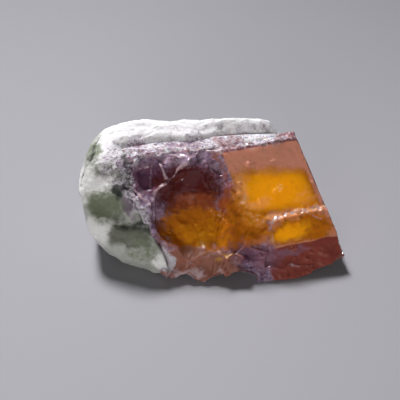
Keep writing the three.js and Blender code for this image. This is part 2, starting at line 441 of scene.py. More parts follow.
# %% Crystal: the raised side of the deep hollow
BREAK_OUT = np.array([0.02, -0.715, 0.7])
BREAK_REACH = 10.97  # how far the broken plane lies from the middle of the base, mm
LEFT_FILL, MORE_ON_THE_RIGHT = 0.2, 0.58
depth = np.clip(BREAK_REACH - body @ BREAK_OUT, 0, 6) * main_bowl
crack_along = np.interp(down, [3.3, 6.2, 10, 12.1, 14.4], [-0.5, 0.6, 2.0, 2.4, 1.2])
right_of_crack = smooth(along + 0.4 * bend[:, 0] - crack_along, -0.5, 0.8)
filled = depth * (LEFT_FILL + MORE_ON_THE_RIGHT * right_of_crack)
print("the hollow is", depth.max().round(1), "mm deep and is filled by up to", filled.max().round(1), "mm")

# %% [markdown]
# One knob of stone sits on the contact and leans over the crystal. A lump of its own would show a ring
# round its foot. So both pieces are raised there, by the same amount in the same direction, and no gap
# opens between them.

# %% The knob on the contact
KNOB_OUT = np.array([-0.15, -0.78, 0.61])
KNOB_CORNERS = [(-16.0, -4.3, 12.6), (-14.6, -4.6, 11.8), (-13.2, -6.2, 10.2)]
KNOB_WIDTH, KNOB_HEIGHT = 2.6, 0.75


def knob(points):
    middle = line(points, KNOB_CORNERS, KNOB_WIDTH, sharp=True)
    return smooth(middle + 0.25 * swell(points, 1.6, 41), 0.12, 0.34)


body_knob = knob(body)
print("the knob covers", cover(body_knob), "of the crystal")

# %% Crystal: its worn tip, and its edge along the rock
TIP = np.array([24.4, -6.6, 2.6])
TIP_WEAR = 0.7
worn_tip = level_blob(body, TIP, (2.6, 2.6, 2.6))
lift = lift * (1 - worn_tip) - TIP_WEAR * worn_tip
lift *= 1 - 0.8 * body_knob
# At its upper left corner the crystal is sunk, and low down it is raised, so that it meets the rock's lip.
lift -= 0.7 * level_blob(body, (-16.0, 1.0, 15.6), (3.4, 2.6, 3.4))
at_rock = smooth(crystal_to_rock, 2.4, 0.3) * crystal_outside * (1 - body_knob)
lift += at_rock * np.interp(body[:, 2], [7.5, 11], [1.0, -0.3]) * resting
print("the crystal is now moved by", lift.min().round(2), "to", lift.max().round(2), "mm")

# %% [markdown]
# The pushes are put together here. The last one bends the whole broken half unevenly, because a surface
# that only moves along its normals keeps much of the CAD solid's straight outline. At the toe, where the
# rock ends low down on the front, the crystal comes forward a little, and the rock goes back further
# below, so that no crevice is left between them.

# %% Crystal: move the points
TOE_OUT = 0.9 * np.array([0, -0.79, 0.61])
WARP = 1.2


def push(points, amount, direction):
    return points + np.asarray(direction) * amount[:, None]


uneven = broken * air * resting * (1 - worn_tip) * smooth(past_scarp, 0, -1.5)
body = push(body, lift, facing)
body = push(body, filled, BREAK_OUT)
body = push(body, KNOB_HEIGHT * body_knob, KNOB_OUT)
body = push(body, level_blob(body, (-8.4, -9.4, 3.6), (2.2, 2.2, 2.0), 0.8), TOE_OUT)
body = push(body, uneven * (1 - 0.45 * main_bowl), WARP * wander(body, 3.6, 91))
write(crystal, body)
furthest = np.linalg.norm(body - crystal_points, axis=1).max()
print("the crystal's points moved by up to", furthest.round(1), "mm")

# %% [markdown]
# ## The rock's surface
# Marble weathers to a sugary skin: rounded lumps, with grains of calcite standing out of them. On the
# left the skin has broken away under a pale lobe and left a ragged overhanging edge with a dark green
# hollow below it. The bowls from above are used again, upside down, for the lumps and the grains.

# %% Rock: the overhanging lobe
stone, stone_facing = rock_points, rock_normals
stone_bend = wander(stone, 2.2, 11)
UPWARDS = np.array([0, 0.616, 0.788])  # up and back, as the left end of the rock slopes
rise = stone @ UPWARDS
lobe_edge = np.interp(stone[:, 0], [-23.2, -20.6, -19.1, -17.4, -15.7], [8.6, 8.6, 9.7, 10.3, 12.2])
above = rise - lobe_edge - 0.7 * stone_bend[:, 0]
front_left = smooth(stone[:, 1], 2.5, 0.5) * smooth(stone[:, 0], -14.2, -15.5)
overhang = 0.4 * smooth(above, -0.2, 0.2) * smooth(above, 6, 1.5)
overhang -= 0.75 * smooth(above, 0.2, -0.2) * smooth(above, -5, -1) * smooth(stone[:, 0], -24.5, -21)
print("the lobe stands out by up to", (front_left * overhang).max().round(2), "mm")

# %% Rock: grooves, lumps and grains
# A long crack over the upper left edge, and the undercut below the knob.
GROOVES = [
    [(-20.8, 8.6, 19.2), (-21.9, 6.2, 18.1), (-22.6, 3.3, 17.1), (-23.6, 1.9, 16.0), (-24.1, 0.9, 14.9),
     (-24.3, -0.6, 13.0)],
]
NOTCHES = [
    [(-18.2, -6.8, 8.8), (-15.7, -7.9, 8.9), (-12.8, -8.0, 9.2)],
]
GRAIN_SIZE, LUMP_SIZE = 0.75, 2.6  # real grains are about 0.5 mm, and are drawn coarser so that they show
groove = lines(stone + 0.4 * stone_bend, GROOVES, 0.4)
undercut = lines(stone + 0.3 * stone_bend, NOTCHES, 0.7)
grains = -scoops(stone, GRAIN_SIZE, 14)
lumps = -scoops(stone + 0.6 * stone_bend, LUMP_SIZE, 15)
stone_lift = front_left * overhang + 0.25 * swell(stone, 4.5, 16) + 0.2 * lumps + 0.11 * grains
stone_lift -= 0.5 * groove + 0.7 * undercut
stone_resting = smooth(stone[:, 2], 0.05, 0.4)
stone_lift = np.clip(stone_lift, -1.1, 0.8) * stone_resting
print("the rock is moved by", stone_lift.min().round(2), "to", stone_lift.max().round(2), "mm")

# %% [markdown]
# Near the crystal the rock is drawn across until it goes 0.12 mm into it, which welds the two. On the
# outside a ragged lip goes further still and stands up a little, as a mineral that grew round another
# does. It is wider at the knob and at the upper left corner, where the two surfaces would otherwise part.

# %% Rock: the weld and the lip
WELD_DEPTH = 0.12
closing = smooth(rock_to_crystal, 2.2, 0.7)
weld = closing * (rock_to_crystal + WELD_DEPTH)
stone_knob = knob(stone)
stone = push(stone, stone_lift * (1 - 0.6 * closing), stone_facing)
upper_corner = level_blob(stone, (-16.0, 1.0, 15.6), (3.4, 3.0, 3.4))
lip = np.clip(0.9 + 1.2 * swell(stone, 1.5, 73) + 1.2 * stone_knob + 0.9 * upper_corner, 0.2, 2.2)
lip *= smooth(rock_to_crystal, 2.2, 0.4) * rock_outside * stone_resting
stone = push(stone, weld + lip, towards_crystal)
stone = push(stone, 0.5 * lip, stone_facing)
print("the rock meets the crystal along", int((closing > 0.5).sum()), "points")

# %% [markdown]
# Last, some regions are nudged as a whole, to bring the outline of the rock's top to where the real one
# is, and to lay its toe against the crystal. It works like a soft grab brush in sculpting, but it can be
# repeated exactly.

# %% Rock: nudges
NUDGE_EDGE = 0.8
NUDGES = [
    # middle, radii, push
    ((-8.0, 10.5, 20.5), (8.0, 4.5, 2.5), (0, 0, -0.6)),  # the back edge of the top goes down
    ((10.5, 9.0, 19.5), (3.5, 4.5, 2.5), (1.0, 0, 0.3)),  # its right end goes out
    ((-7.0, 4.0, 22.0), (14.0, 4.4, 3.0), (0, 2.4, -1.4)),  # its front edge goes back and down
    ((6.0, 5.0, 21.6), (7.0, 4.4, 3.4), (0, 2.0, -1.2)),  # and so it does further right
    ((-9.4, -9.9, 3.6), (2.4, 2.4, 2.2), (0, 1.0, -0.8)),  # the toe goes back against the crystal
]
for middle, radii, way in NUDGES:
    stone = push(stone, level_blob(rock_points, middle, radii, NUDGE_EDGE), way)
stone = push(stone, KNOB_HEIGHT * stone_knob, KNOB_OUT)
write(rock, stone)
furthest = np.linalg.norm(stone - rock_points, axis=1).max()
print("the rock's points moved by up to", furthest.round(1), "mm")

# %% [markdown]
# ## Zones of colour
# The crystal's colour is in its body: honey windows, the dark wine of the deep hollow, the pink of the
# upper band. Part of it is painted light and shade: the honey windows are painted brighter, as light from
# behind makes them, the wine at the top of the deep hollow is deepened as painted shade, and glints and a
# sparkle are painted on. The zones could be painted on an image, but it would need unwrapping. They are
# stored on the points instead, each as a soft share from 0 to 1, and the material breaks up their edges
# with finer noise than the mesh can hold. Each zone is made of egg shapes and steps, and the points are
# moved about by a slow noise before they are tested, so that no zone has an even outline.
#
# The first one is shared by both pieces. `contact` is 0 deep in the rock, 1 deep in the crystal and 0.5
# on the border, so that both pieces can draw the same mixed grains there.

# %% The border that the two pieces share
LOW_REACH, TOP_REACH = 2.6, 4.4  # how far from the border the mixing reaches, low down and at the top, mm


def border(points, way_into_crystal, knobbed):
    reach = np.interp(points[:, 2], [11.5, 16.0], [LOW_REACH, TOP_REACH])
    stray = 0.18 * swell(points, 2.4, 71) + 0.10 * swell(points, 0.9, 72)
    corner = level_blob(points, (-16.6, 1.4, 16.2), (4.8, 4.2, 3.6), 0.8)
    toe = level_blob(points + 1.4 * wander(points, 1.5, 74), (-8.8, -10.4, 3.3), (1.7, 2.0, 1.9), 0.3)
    high = smooth(points[:, 2], 13, 16)
    crown = smooth(points[:, 2], 17.4, 18.2) * smooth(points[:, 0], 4, 0)
    share = 0.5 + 0.5 * way_into_crystal / reach - 0.22 * knobbed - 0.6 * toe - 0.13 * crown
    # Along the top, grains of crystal reach into the rock in the middle, and grains of rock reach over the
    # crystal at the right end.
    share += high * np.interp(points[:, 0], [-12, -4, 0, 3, 8], [0.1, 0.18, 0.17, 0.04, -0.1])
    return share + 0.8 * corner * (0.45 - share) + stray


body_contact = border(body, crystal_to_rock, body_knob)
stone_contact = border(stone, lip - rock_to_crystal, 0.5 * stone_knob)
print(cover(body_contact), "of the crystal and", cover(stone_contact), "of the rock look like crystal")

# %% [markdown]
# The two windows are bounded by the crystal's own growth, so their edges run straight. The upper one
# drops a little to the right, which is why it is measured with a lean of its own.

# %% Crystal: where the windows are
# The points moved about by the noise: a lot for soft zones, and less for the edges of the windows.
soft = body + 0.9 * bend + 0.8 * sway
soft_along = on_face(soft)[0]
calm_along, calm_down, _ = on_face(body + 0.5 * bend + 0.3 * sway)
WINDOW_LEAN = 0.14  # how far the upper window drops for each mm along the crystal
END_ALONG, END_LEAN = 19.56, 0.178  # where the front face ends on the right, and how that edge leans
to_end = END_ALONG + END_LEAN * down - along + 0.2 * bend[:, 1]
level_down = calm_down - WINDOW_LEAN * (along - 13)
window = smooth(level_down, 3.8, 6.6) * smooth(level_down + 0.4 * bend[:, 2], 14.0, 11.8)
below_windows = smooth(down + 0.3 * bend[:, 1], 19.4, 20.2)
on_whole = smooth(past_scarp, 0.3, 2.0)
print("the upper window's band covers", cover(window))

# %% Crystal: the honey windows and their painted backlight
zones = {"block": whole * smooth(down, 22.5, 21)}
# Honey is partly the crystal's own amber and partly painted light, as light from behind brightens it.
zones["honey_and_backlight"] = strongest(
    0.8 * smooth(to_end, 0.5, 1.5) * smooth(past_scarp, 0.0, 1.4) * window,
    blob(soft, on_front(15.6, 17.2), (6.8, 2.8, 3), 0.4) * (1 - below_windows),
    level_blob(soft, (-2.3, -5.8, 6.0), (7.8, 5.2, 5.6)) * smooth(soft[:, 2], 11.5, 8.0),
    0.95 * blob(soft, on_front(7.2, 12.8), (3.8, 6.0, 3), 0.4),
)
# The bright part of the windows is painted light: the glow of light from behind that passes through.
painted_backlight_window = smooth(to_end, 0.4, 2.6) * smooth(calm_along, 3.8, 8.8)
painted_backlight_window = painted_backlight_window * smooth(level_down, 4.0, 7.4) * smooth(level_down, 14.6, 11.8)
zones["painted_backlight"] = strongest(
    0.4 * smooth(to_end, 0.9, 2.2) * on_whole * window,
    painted_backlight_window * smooth(soft[:, 2], 5, 8),
    blob(soft, on_front(13.8, 17.4), (3.8, 1.7, 3), 0.7),
    0.5 * level_blob(soft, (-2.4, -6.4, 5.4), (5.0, 3.2, 3.5), 0.7),
    0.45 * blob(soft, on_front(8.6, 12.5), (2.8, 3.6, 3), 0.7),
)
zones["peach"] = strongest(
    0.8 * blob(soft, on_front(9.6, 11.2), (2.8, 1.0, 2), 0.7),
    0.8 * blob(soft, on_front(7.2, 7.6), (1.6, 3.4, 2), 0.7),
    0.5 * blob(soft, on_front(18.3, 12.0), (2.8, 1.4, 2), 0.7),
    0.8 * ledge,
    0.55 * window * smooth(level_down, 7.0, 5.4) * on_whole * smooth(to_end, 0.6, 1.6),
    0.6 * blob(soft, on_front(15.0, 14.2), (6.4, 1.3, 2), 0.8),
    0.35 * blob(soft, on_front(14.0, 19.4), (4.4, 0.9, 2), 0.7),
)
print("honey covers", cover(zones["honey_and_backlight"]), "and its bright part", cover(zones["painted_backlight"]))

# %% [markdown]
# The broken half is darker, because its hollows look down into the body: purple at the left, wine under
# the top edge, and a brown glow where the honey begins. Under the overhanging top edge of the deep hollow
# the wine is deepened as painted shade. The prism's faces are pink above and between the windows and rust
# red below them, and the foot has the colour of flesh.

# %% Crystal: dark and pink zones
zones["dusk"] = strongest(
    level_blob(soft, (-12.4, -0.2, 14.2), (4.2, 3.4, 3.2), 0.9),
    0.4 * level_blob(soft, (-9.4, -5.6, 9.0), (1.8, 2.6, 3.4), 0.5),
    blob(soft, on_front(5.8, 20.2), (2.6, 2.0, 3.0), 0.7),
)
# The crystal's wine colour, deepened as painted shade at the top of the deep hollow, under its overhang.
zones["wine_and_hollow_shade"] = strongest(
    level_blob(soft, (-4.6, -0.7, 12.4), (6.8, 4.6, 5.2), 0.5),
    0.5 * blob(soft, on_front(3.2, 5.0), (2.0, 4.0, 3.0), 0.5),
    0.5 * smooth(to_end, 0.3, -0.3) * smooth(swell(body, 5.0, 81) + 0.05 * (-out - 3), -0.1, 0.4),
)
zones["ember"] = strongest(
    blob(soft, on_front(4.6, 12.6), (2.6, 6.0, 4), 0.4),
    0.8 * level_blob(soft, (-2.0, -3.0, 9.6), (6.0, 3.0, 2.4), 0.5),
)
zones["rose"] = whole * strongest(
    smooth(level_down + 0.4 * bend[:, 1], 6.6, 4.4),
    0.5 * smooth(down, 11.8, 13.8),
    0.8 * smooth(to_end, 1.5, 0.6) * smooth(out, -9, -3),
)
zones["rust"] = below_windows * smooth(soft_along, 8.0, 11.0)
zones["flesh"] = strongest(
    foot * smooth(soft_along, 7, 1),
    level_blob(soft, (-4.4, -10.4, 3.4), (5.2, 2.5, 2.4), 0.4),
)
zones["haze"] = strongest(
    blob(soft, on_front(8.6, 21.0), (3.0, 3.6, 3), 0.8),
    0.8 * blob(soft, on_front(13, 21.0), (4.6, 0.7, 3), 0.6),
)
for name in ("dusk", "wine_and_hollow_shade", "ember", "rose", "rust", "flesh", "haze"):
    print(name, "covers", cover(zones[name]))

# %% [markdown]
# Over the body colours lie marks of the surface itself, and some painted light. Ribs and hairlines are pale,
# because light scatters in them, and the rims and the ledge are painted paler still, as painted highlights.
# The faces at the back and below take a dull colour, partly weathering where the crystal grew against the
# rock and partly painted shade, and powdery frost lies on the foot and along the top edge. One yellow spot
# on the lower rim is a painted sparkle.

# %% Crystal: veins and painted highlights, weathering and painted shade, frost
ledge_speckle = smooth(swell(body, 0.9, 22), -0.2, 0.3)
# Ribs and hairlines are pale in the stone itself; on the rims and the ledge the pale colour is painted
# highlight.
zones["veins_and_edge_highlights"] = np.clip(0.95 * rib + 0.6 * rim + 0.75 * hairline + 0.8 * ledge * ledge_speckle, 0, 1)
zones["mauve"] = whole * strongest(
    smooth(down, 1.0, 0.2),
    smooth(to_end, 0.4, 0.1) * smooth(out, -0.9, -0.2),
)
# A dull colour on faces that look back or down: partly weathering, partly painted shade.
zones["weathered_and_shaded"] = np.clip(smooth(facing[:, 1], 0.1, 0.5) + smooth(facing[:, 2], -0.4, -0.8), 0, 1)
zones["blush"] = 0.7 * smooth(past_scarp, -2.5, -0.5) * smooth(past_scarp, 0.6, 0.0) * smooth(down, 9, 3)
zones["frost"] = strongest(
    0.6 * foot * smooth(swell(body, 2.2, 33), -0.1, 0.4) * smooth(soft_along, 9, 6),
    level_blob(soft, (-4.4, -12.2, 1.0), (4.0, 1.8, 1.7), 0.7),
    0.7 * crest,
    level_blob(body + 0.8 * bend, (-9.0, -10.2, 3.6), (1.5, 1.7, 1.8), 0.5),
)
# A painted sparkle: a yellow spot of painted highlight on the lower rim.
zones["painted_sparkle"] = level_blob(soft, (2.2, -10.6, 4.4), (2.0, 1.0, 0.9))
# The painted backlight is taken off the faces that look back or down.
zones["painted_backlight"] = zones["painted_backlight"] * (1 - zones["weathered_and_shaded"])
print("weathered faces cover", cover(zones["weathered_and_shaded"]), "and veins", cover(zones["veins_and_edge_highlights"]))

# %% [markdown]
# Two zones only say how strong a fine pattern is. `splinter` is for the dark flecks of small fractures
# below the surface, and is kept out of the painted backlight. The other says where painted glints go: pale
# flecks of painted highlight on edges and near the scarp.

# %% Crystal: flecks
zones["splinter"] = strongest(
    blob(soft, on_front(8.0, 10.5), (3.4, 5.4, 3), 0.7),
    level_blob(soft, (2.2, -4.8, 7.4), (2.4, 3.6, 3.8), 0.7),
    0.6 * blob(soft, on_front(15.5, 17.2), (6.8, 2.8, 3), 0.6),
    0.5 * level_blob(soft, (-3.2, -1.2, 12.8), (5.2, 3.4, 3.4)),
)
zones["splinter"] = zones["splinter"] * (1 - zones["painted_backlight"])
# Painted glints: pale flecks of painted highlight on the ledge, the rims, the top edge and near the scarp.
zones["painted_glint"] = strongest(
    0.8 * ledge,
    0.5 * rim,
    0.6 * crest,
    0.7 * level_blob(soft, (-5.5, 1.4, 17.3), (3.6, 1.6, 1.4)),
    0.5 * level_blob(soft, (-13.4, -2.6, 13.2), (2.2, 3.0, 2.6)),
    0.9 * level_blob(body, (12.4, -0.8, 12.5), (0.9, 1.1, 1.2)),
    0.4 * blob(soft, on_front(11.0, 9.8), (5.0, 2.6, 2), 0.7),
    0.7 * blob(soft, on_front(7.8, 11.0), (2.8, 4.8, 2), 0.7),
    0.6 * level_blob(soft, (1.4, -4.6, 8.0), (2.6, 3.4, 3.6), 0.7),
    0.2 * np.ones(len(body)),
)
print("dark flecks cover", cover(zones["splinter"]), "and pale ones", cover(zones["painted_glint"]))

# %% Crystal: next to the rock, and storing it all
def knob_edge(points):
    """The knob is paler along its lower right edge."""
    return level_blob(points, (-12.6, -6.5, 10.3), (2.2, 1.5, 1.3), 0.5)


zones["crack"] = 0.6 * crack
zones["stain"] = body_knob * (1 - 0.8 * knob_edge(body + 0.6 * bend))
# The marble on the crystal's upper border takes the same white as the rock's lit top.
zones["top"] = smooth(body[:, 2] + 0.8 * bend[:, 1], 15.5, 18.0)
zones["contact"] = body_contact
for name, values in zones.items():
    store(crystal, name, values)
print(len(zones), "zones are stored on the crystal")

# %% [markdown]
# The rock's zones: white on the lobes, and whiter on top, partly as painted light on faces that look up;
# painted shade, grey-green and dark, in the hollow under the left lobe, below the knob and in the crevices;
# and patches of green where grains of diopside lie together.

# %% Rock: lit top, pale, stained and painted shade zones
stone_soft = stone + 0.9 * stone_bend
whiter_left = 0.85 + 0.15 * smooth(stone_soft[:, 0], 0, -7)
facing_up = smooth(stone_facing[:, 2], -0.2, 0.3)
# Painted light: the rock's top is whiter on faces that look up, where light from above falls on the white
# calcite.
rock_zones = {"top": smooth(stone[:, 2] + 0.8 * stone_bend[:, 1], 16.0, 18.6) * facing_up * whiter_left}
rock_zones["pale"] = strongest(
    level_blob(stone_soft, (-20.2, -2.2, 14.6), (4.2, 3.4, 2.6)),
    0.8 * level_blob(stone_soft, (-21.4, -6.0, 7.4), (3.2, 3.6, 2.8)),
    0.8 * level_blob(stone_soft, (-24.4, 0.0, 11.6), (1.0, 5.0, 4.0)),
    level_blob(stone_soft, (-9.4, -10.6, 3.4), (1.6, 1.8, 1.6), 0.5),
)
rock_zones["stain"] = strongest(
    0.55 * level_blob(stone_soft, (9.4, 7.4, 19.8), (4.4, 3.6, 2.0)),
    stone_knob * (1 - 0.8 * knob_edge(stone_soft)),
    0.2 * smooth(stone[:, 0], -6, 6),
    0.4 * level_blob(stone_soft, (-19.4, 0.8, 16.8), (2.8, 2.2, 1.6)),
)
# Painted shade: grey-green darkening below the knob, under the left lobe and near the upper left of the
# seam.
rock_zones["painted_shade"] = strongest(
    level_blob(stone_soft, (-15.2, -8.4, 7.8), (4.2, 3.0, 2.4)),
    0.7 * level_blob(stone_soft, (-18.4, -4.4, 12.4), (2.6, 2.0, 2.0)),
    0.7 * level_blob(stone_soft, (-18.8, -0.6, 16.4), (3.2, 2.4, 1.8)),
)
print("pale stone covers", cover(rock_zones["pale"]), "and murky stone", cover(rock_zones["painted_shade"]))

# %% Rock: green zones, painted shade in the crevices, and storing it all
green_patches = smooth(swell(stone, 4.5, 31, 4), 0.05, 0.4)  # these are on the back
rock_zones["green"] = strongest(
    level_blob(stone_soft, (-20.0, -3.8, 10.8), (3.8, 3.5, 2.8)),
    0.6 * level_blob(stone_soft, (-12.6, -10.2, 5.8), (4.0, 3.5, 3.8)),
    level_blob(stone_soft, (-22.4, 4.6, 17.2), (1.8, 3.8, 2.6)),
    0.5 * level_blob(stone_soft, (-17.6, 4.6, 18.8), (1.8, 1.8, 1.8)),
    0.7 * smooth(stone[:, 1], 7, 11) * smooth(stone[:, 2], 19, 17) * green_patches,
)
# Painted shade in the crevices: under the left lobe, in the undercut below the knob and along the long
# groove.
rock_zones["dark"] = strongest(
    level_blob(stone_soft, (-17.4, -3.2, 13.4), (1.9, 1.8, 1.7)),
    0.8 * lines(stone_soft, NOTCHES, 1.1),
    0.9 * groove,
)
rock_zones["contact"] = stone_contact
for name, values in rock_zones.items():
    store(rock, name, values)
print("green covers", cover(rock_zones["green"]), "of the rock;", len(rock_zones), "zones are stored on it")

# %% [markdown]
# ## One way to build a material
# Every finish below is a small graph on one Principled shader. Colours are given as the hex values that a
# paint program shows, and one function turns them to linear light. One helper adds a node, sets it up and
# links it.

# %% Colour and node helpers
def colour(code):
    parts = [int(code[i:i + 2], 16) / 255 for i in (1, 3, 5)]
    return tuple(p / 12.92 if p <= 0.04045 else ((p + 0.055) / 1.055) ** 2.4 for p in parts) + (1.0,)


def connect(tree, node, inputs):
    """An input given another node's socket is linked, and one given a value is set."""
    for key, value in inputs.items():
        if isinstance(value, bpy.types.NodeSocket):
            tree.links.new(value, node.inputs[key])
        else:
            node.inputs[key].default_value = value


def add(tree, kind, inputs=None, **settings):
    """Adds a node, with its settings and its links."""
    node = tree.nodes.new("ShaderNode" + kind)
    for name, value in settings.items():
        setattr(node, name, value)
    connect(tree, node, inputs or {})
    return node


def new_material(name):
    made = bpy.data.materials.new(name)
    made.use_nodes = True
    return made, made.node_tree, made.node_tree.nodes["Principled BSDF"]


print("mid grey #808080 is", round(colour("#808080")[0], 3), "in linear light")

# %% [markdown]
# Natural colour comes in patches, patches of patches, and ragged borders between them. `grain_of` is a
# noise of a real size. `ragged` takes one of the stored zones and breaks up its edge with such a noise.
# `coated` lays one colour after another over a base, each where its own zone says, as thin washes of
# paint are laid.

# %% Patches, ragged edges and coats of colour
def grain_of(tree, place, size, detail=4.0, roughness=0.55):
    """Noise of a size in mm, spread out so that it uses the whole range from 0 to 1."""
    sockets = {"Vector": place, "Scale": 1 / (size * MM), "Detail": detail, "Roughness": roughness}
    raw = add(tree, "TexNoise", sockets).outputs["Fac"]
    return add(tree, "MapRange", {"Value": raw, "From Min": 0.3, "From Max": 0.7}).outputs["Result"]


def ragged(tree, zone, grit, amount, low, high):
    """A zone's share of the surface, with its edge broken up by a noise."""
    where = add(tree, "Attribute", attribute_name=zone).outputs["Fac"]
    shifted = add(tree, "Math", {0: grit, 1: amount, 2: where}, operation="MULTIPLY_ADD").outputs["Value"]
    limits = {"Value": shifted, "From Min": low + amount / 2, "From Max": high + amount / 2}
    return add(tree, "MapRange", limits, interpolation_type="SMOOTHSTEP").outputs["Result"]


def coated(tree, grit, base, coats):
    """Colours laid over a base, each by its zone. Share 0 keeps what is below, and share 1 hides it."""
    for zone, code, amount, low, high in coats:
        share = ragged(tree, zone, grit, amount, low, high)
        mix = add(tree, "Mix", {"Factor": share, "A": base, "B": colour(code)}, data_type="RGBA")
        base = mix.outputs["Result"]
    return base


# %% [markdown]
# ## Where crystal and rock mix
# Near the border, grains of both minerals lie side by side. A soft blend of the two colours would look
# like paint, so grains are drawn. Both materials draw them with the same noise in the same place, so a
# grain that starts on one piece goes on across the border on the other. On the rock's side of the border
# the crystal's colour is the plum of its outermost skin.

# %% Mixed grains, the same on both pieces
DEEP_PLUM, PALE_PLUM = "#6a4a66", "#d0b8d2"
PALE_GRAIN, PLUM_GRAIN = "#e2dce4", "#72646f"


def plum_grains(tree, place):
    cloud = grain_of(tree, place, 2.0, 4, 0.6)
    crumb = grain_of(tree, place, 0.6, 4, 0.75)
    both = add(tree, "Mix", {"Factor": 0.55, "A": cloud, "B": crumb}).outputs["Result"]
    both = add(tree, "MapRange", {"Value": both, "From Min": 0.25, "From Max": 0.8}).outputs["Result"]
    ends = {"Factor": both, "A": colour(DEEP_PLUM), "B": colour(PALE_PLUM)}
    return add(tree, "Mix", ends, data_type="RGBA").outputs["Result"]


def mixed_grains(tree, place, crystal_shade, rock_shade):
    """From rock to grains to crystal, and how far the surface is crystal."""
    patch = grain_of(tree, place, 1.7, 5, 0.7)
    share = ragged(tree, "contact", patch, 0.3, 0.16, 0.76)
    speckle = grain_of(tree, place, 0.45, 3, 0.7)
    speckle = add(tree, "MapRange", {"Value": speckle, "From Min": 0.38, "From Max": 0.74}).outputs["Result"]
    lower = add(tree, "MapRange", {"Value": share, "From Max": 0.5}).outputs["Result"]
    upper = add(tree, "MapRange", {"Value": share, "From Min": 0.5}).outputs["Result"]
    grains = {"Factor": speckle, "A": colour(PALE_GRAIN), "B": colour(PLUM_GRAIN)}
    grains = add(tree, "Mix", grains, data_type="RGBA").outputs["Result"]
    shade = {"Factor": lower, "A": rock_shade, "B": grains}
    shade = add(tree, "Mix", shade, data_type="RGBA").outputs["Result"]
    shade = {"Factor": upper, "A": shade, "B": crystal_shade}
    return add(tree, "Mix", shade, data_type="RGBA").outputs["Result"], upper


# %% [markdown]
# ## Scapolite
# Scapolite is a clear silicate with the sheen of glass (IOR 1.55). Here it is full of fine fractures, so
# most of the light that enters is scattered and comes back as body colour, and only part of it passes
# through. It could be a volume with an absorbing medium, which is slow, noisy, and lost when the model is
# exported. A surface with a share of Transmission and some Subsurface looks much the same from outside.
# The windows let the most light through. The colour is built up in coats, from the body outwards, and some
# of the coats are painted light and shade.

# %% Scapolite: its coats of colour
CRYSTAL_COATS = [
    # zone, colour, how ragged its edge is, where it starts and where it is full
    ("dusk", "#724a66", 0.5, 0.0, 0.9),
    # the crystal's wine, deepened as painted shade at the top of the deep hollow
    ("wine_and_hollow_shade", "#5c1c1e", 0.3, 0.1, 0.9),
    ("ember", "#a45230", 0.4, 0.1, 0.9),
    ("block", "#d49058", 0.2, 0.2, 0.8),
    ("rose", "#f0a48a", 0.3, 0.1, 0.8),
    ("rust", "#9a4c42", 0.2, 0.3, 0.7),
    # the crystal's amber, partly painted light from behind
    ("honey_and_backlight", "#cc7612", 0.5, 0.1, 0.8),
    # painted light: the glow from behind in the brightest part of the windows
    ("painted_backlight", "#f6ae18", 0.5, 0.1, 1.0),
    ("flesh", "#a06a5a", 0.5, 0.2, 0.9),
    ("blush", "#b87868", 0.8, 0.3, 1.0),
    ("mauve", "#8c5a62", 0.6, 0.2, 0.9),
    ("haze", "#9a6a7c", 0.5, 0.2, 1.0),
    ("crack", "#5a2418", 0.2, 0.3, 0.8),
    ("peach", "#f6b07a", 0.6, 0.2, 0.9),
    # weathering and painted shade on the faces that look back or down
    ("weathered_and_shaded", "#9c6c66", 1.0, 0.3, 1.4),
    ("frost", "#c8aeb4", 0.9, 0.5, 1.1),
    # painted sparkle
    ("painted_sparkle", "#c89848", 0.9, 0.5, 1.1),
    # pale veins, and painted highlights on the rims and the ledge
    ("veins_and_edge_highlights", "#d0b4be", 0.6, 0.3, 0.9),
]
# The marble that shows at the crystal's border is white on top, partly as painted light, and grey on the
# knob.
KNOB_GREY, LIT_TOP_WHITE = "#8c7f8a", "#f5f4f6"
LIT_TOP_COAT = ("top", LIT_TOP_WHITE, 0.3, 0.1, 0.8)
KNOB_COAT = ("stain", KNOB_GREY, 0.8, 0.2, 1.0)
unknown = {coat[0] for coat in (*CRYSTAL_COATS, LIT_TOP_COAT, KNOB_COAT)} - set(zones)
print(len(CRYSTAL_COATS), "coats; zones that are missing:", sorted(unknown) or "none")

# %% Scapolite: flecks of broken facets, and painted glints
FRACTURE_DARK, PAINTED_GLINT_PALE = "#3c1a1c", "#f0dcd8"


def with_fractures(tree, place, shade):
    """Small patches a shade darker than the rest, from fractures just below the surface."""
    darker = {"Factor": 0.7, "A": shade, "B": colour(FRACTURE_DARK)}
    darker = add(tree, "Mix", darker, data_type="RGBA").outputs["Result"]
    patch = grain_of(tree, place, 0.9, 3, 0.6)
    patch = add(tree, "MapRange", {"Value": patch, "From Min": 0.5}).outputs["Result"]
    splinter = add(tree, "Attribute", attribute_name="splinter").outputs["Fac"]
    strength = add(tree, "MapRange", {"Value": splinter, "To Min": 0.22, "To Max": 0.8}).outputs["Result"]
    share = add(tree, "Math", {0: patch, 1: strength}, operation="MULTIPLY").outputs["Value"]
    mix = {"Factor": share, "A": shade, "B": darker}
    return add(tree, "Mix", mix, data_type="RGBA").outputs["Result"]


def with_painted_glints(tree, grit, fleck, shade):
    """Painted glints: tiny pale flecks of painted highlight, only where both noises are high, so that they
    stand apart.
    """
    sparse = add(tree, "Math", {0: fleck, 1: grit}, operation="ADD").outputs["Value"]
    lighter = {"Factor": 0.5, "A": shade, "B": colour(PAINTED_GLINT_PALE)}
    lighter = add(tree, "Mix", lighter, data_type="RGBA").outputs["Result"]
    mix = {"Factor": ragged(tree, "painted_glint", sparse, 0.6, 1.1, 1.4), "A": shade, "B": lighter}
    return add(tree, "Mix", mix, data_type="RGBA").outputs["Result"]


# %% [markdown]
# Broken glass and grown faces are both smooth, so the roughness is low and every rib and edge gets a hard
# small highlight. The crumbled foot is duller, and where the surface turns to marble it is matt. The
# finest chips, less than 0.1 mm deep, are too small for the mesh and are left to Bump.

